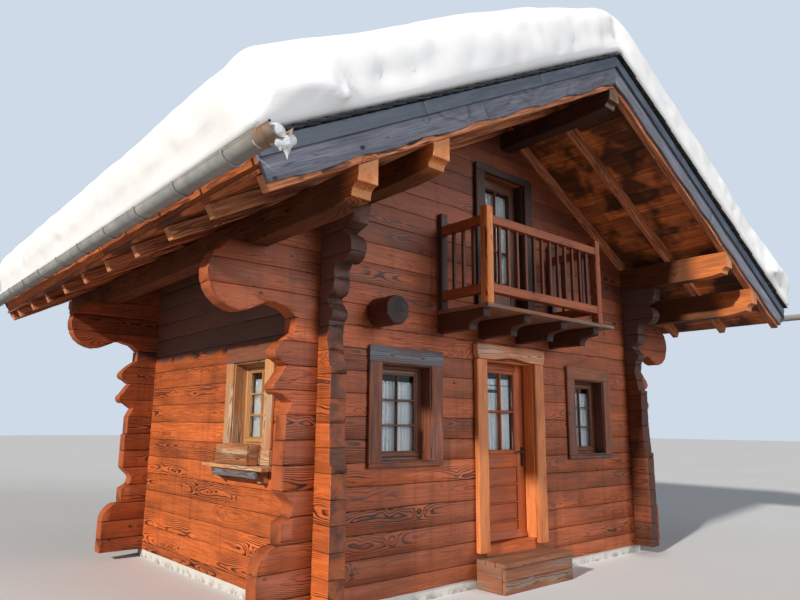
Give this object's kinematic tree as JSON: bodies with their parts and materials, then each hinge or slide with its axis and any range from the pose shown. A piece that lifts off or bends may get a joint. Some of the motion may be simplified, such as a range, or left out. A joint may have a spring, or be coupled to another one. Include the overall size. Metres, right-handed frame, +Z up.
{
  "type": "alpine log chalet",
  "caption": "Small log chalet with carved corner log ends, a wide snow-covered gable roof, front balcony and a hinged entrance door.",
  "frame": {"origin": "on the ground in the middle of the chalet's bounding box, gutters and snow included", "axes": "+Z up, +X to the right of someone who faces the front gable, the front gable faces -Y"},
  "size_m": [8.8494, 8.0107, 6.2618],
  "materials": {
    "balcony_wood": "stained planed timber",
    "dark_batten": "dark battens in shade",
    "floor_boards": "planed boards",
    "glass": "clear",
    "iron": "black iron",
    "joinery_wood": "stained joinery, satin",
    "limewash": "rough limewashed masonry",
    "log_wood": "stained hewn log, satin",
    "roof_timber": "stained rough timber",
    "slate": "dark slate grey, matt",
    "slate_blue_sheet": "slate-blue sheet, satin",
    "snow": "soft white snow",
    "weathered_wood": "grey weathered board",
    "zinc": "weathered zinc"
  },
  "bodies": {
    "house": {"plinth": "limewash", "ground_floor": "floor_boards", "upper_floor": "floor_boards", "front_wall_left": "log_wood", "front_wall_right": "log_wood", "door_threshold": "joinery_wood", "front_wall_over_door": "log_wood", "front_gable": "log_wood", "left_wall": "log_wood", "right_wall": "log_wood", "back_wall": "log_wood", "back_gable": "log_wood", "ridge_purlin": "roof_timber", "plate_purlins": "roof_timber", "eave_purlins": "roof_timber", "left_rafters": "roof_timber", "right_rafters": "roof_timber", "left_roof_boards": "roof_timber", "right_roof_boards": "roof_timber", "left_batten_layer": "dark_batten", "right_batten_layer": "dark_batten", "left_covering": "slate", "right_covering": "slate", "verge_boards": "weathered_wood", "fascias": "slate_blue_sheet", "gutters": "zinc", "gutter_straps": "zinc", "snow_blanket": "snow", "window_casings": "joinery_wood", "window_sashes": "joinery_wood", "window_panes": "glass", "window_shelf": "joinery_wood", "door_posts": "joinery_wood", "door_header": "joinery_wood", "door_hinges": "iron", "door_step": "joinery_wood", "floor_beams": "balcony_wood", "balcony_floor": "balcony_wood", "balcony_posts": "balcony_wood", "balcony_rails": "balcony_wood", "balcony_balusters": "balcony_wood", "balcony_door_frame": "balcony_wood", "balcony_door": "balcony_wood"},
    "entrance_door": {"door_leaf": "joinery_wood", "door_glass": "glass", "door_ironwork": "iron"}
  },
  "joints": [
    {"name": "entrance_door_hinge", "type": "hinge", "parent": "house", "child": "entrance_door", "pos_m": [-0.474, -1.81, 0.41], "axis": [0, 0, 1], "range_deg": [0, 100]}
  ]
}
